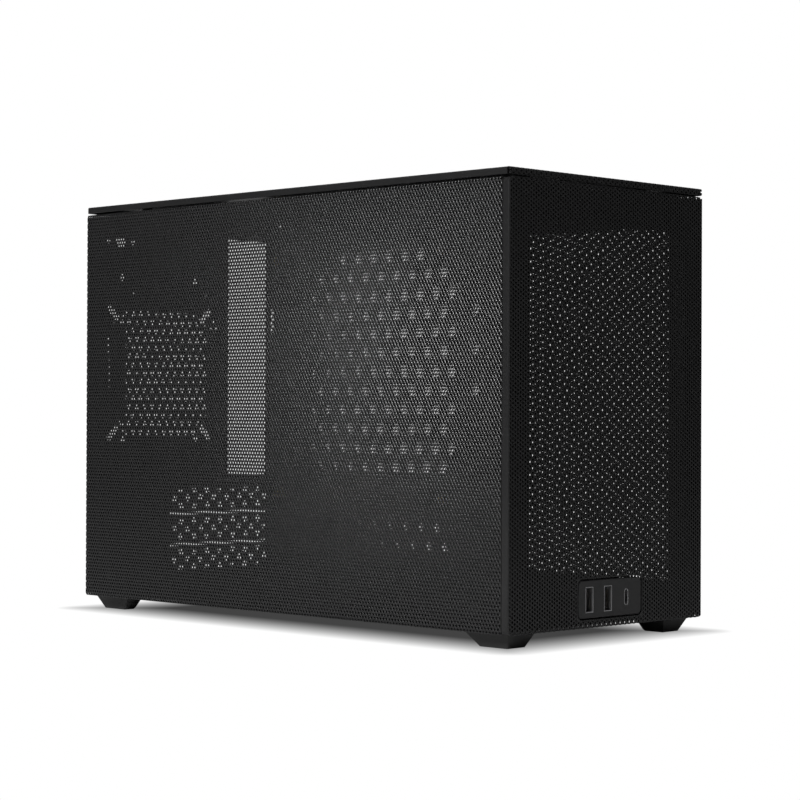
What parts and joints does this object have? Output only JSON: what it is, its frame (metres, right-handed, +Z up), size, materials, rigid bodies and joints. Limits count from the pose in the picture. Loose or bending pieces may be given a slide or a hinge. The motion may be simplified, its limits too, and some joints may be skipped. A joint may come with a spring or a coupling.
{
  "type": "mini itx pc case",
  "caption": "Upright small form factor computer case with pull-off perforated steel panels on a folded frame, front sockets and tapered feet.",
  "frame": {"origin": "middle of the case on the surface that its feet stand on", "axes": "+X across the case towards the main board's wall, the front with its ports faces -Y, +Z up"},
  "size_m": [0.1674, 0.362, 0.2553],
  "materials": {
    "panel_steel": "satin black powder coat on perforated sheet",
    "frame_steel": "satin black powder coat",
    "clip_plastic": "matte black moulding",
    "pin_steel": "black plated",
    "port_plastic": "fine textured dark grey moulding",
    "socket_steel": "bright drawn shell",
    "tongue_plastic": "matte black",
    "board_laminate": "solder mask",
    "inlet_plastic": "matte black moulding",
    "blade_brass": "plated",
    "button_plastic": "polished black",
    "foot_plastic": "fine textured moulding",
    "screw_steel": "black plated",
    "standoff_brass": "turned"
  },
  "bodies": {
    "case": {"base_frame": "frame_steel", "top_frame": "frame_steel", "front_frame": "frame_steel", "rear_panel": "frame_steel", "board_wall": "frame_steel", "slot_cage": "frame_steel", "slot_cover_1": "frame_steel", "slot_cover_2": "frame_steel", "slot_cover_3": "frame_steel", "port_bracket": "frame_steel", "port_bezel": "port_plastic", "usb_a_left": "socket_steel", "usb_a_right": "socket_steel", "usb_c": "socket_steel", "port_tongues": "tongue_plastic", "port_board": "board_laminate", "power_inlet": "inlet_plastic", "inlet_blades": "blade_brass", "button_switch": "inlet_plastic", "standoffs": "standoff_brass", "foot_front_left": "foot_plastic", "foot_front_right": "foot_plastic", "foot_rear_left": "foot_plastic", "foot_rear_right": "foot_plastic", "frame_screws": "screw_steel", "board_wall_screws": "screw_steel", "foot_screws": "screw_steel", "inlet_screws": "screw_steel", "switch_screws": "screw_steel", "slot_screws": "screw_steel", "left_clips": "clip_plastic", "right_clips": "clip_plastic", "front_clips": "clip_plastic", "top_clips": "clip_plastic"},
    "left_panel": {"left_panel": "panel_steel", "left_panel_pins": "pin_steel"},
    "right_panel": {"right_panel": "panel_steel", "right_panel_pins": "pin_steel"},
    "front_panel": {"front_panel": "panel_steel", "front_panel_pins": "pin_steel"},
    "top_panel": {"top_panel": "panel_steel", "top_panel_pins": "pin_steel"},
    "button": {"power_button": "button_plastic"}
  },
  "joints": [
    {"name": "left_panel_pull", "type": "slide", "parent": "case", "child": "left_panel", "axis": [-1, 0, 0], "range_m": [0, 0.1]},
    {"name": "right_panel_pull", "type": "slide", "parent": "case", "child": "right_panel", "axis": [1, 0, 0], "range_m": [0, 0.1]},
    {"name": "front_panel_pull", "type": "slide", "parent": "case", "child": "front_panel", "axis": [0, -1, 0], "range_m": [0, 0.1]},
    {"name": "top_panel_pull", "type": "slide", "parent": "case", "child": "top_panel", "axis": [0, 0, 1], "range_m": [0, 0.1]},
    {"name": "button_press", "type": "slide", "parent": "case", "child": "button", "axis": [0, -1, 0], "range_m": [0, 0.0012], "stiffness_N_per_m": 300}
  ]
}
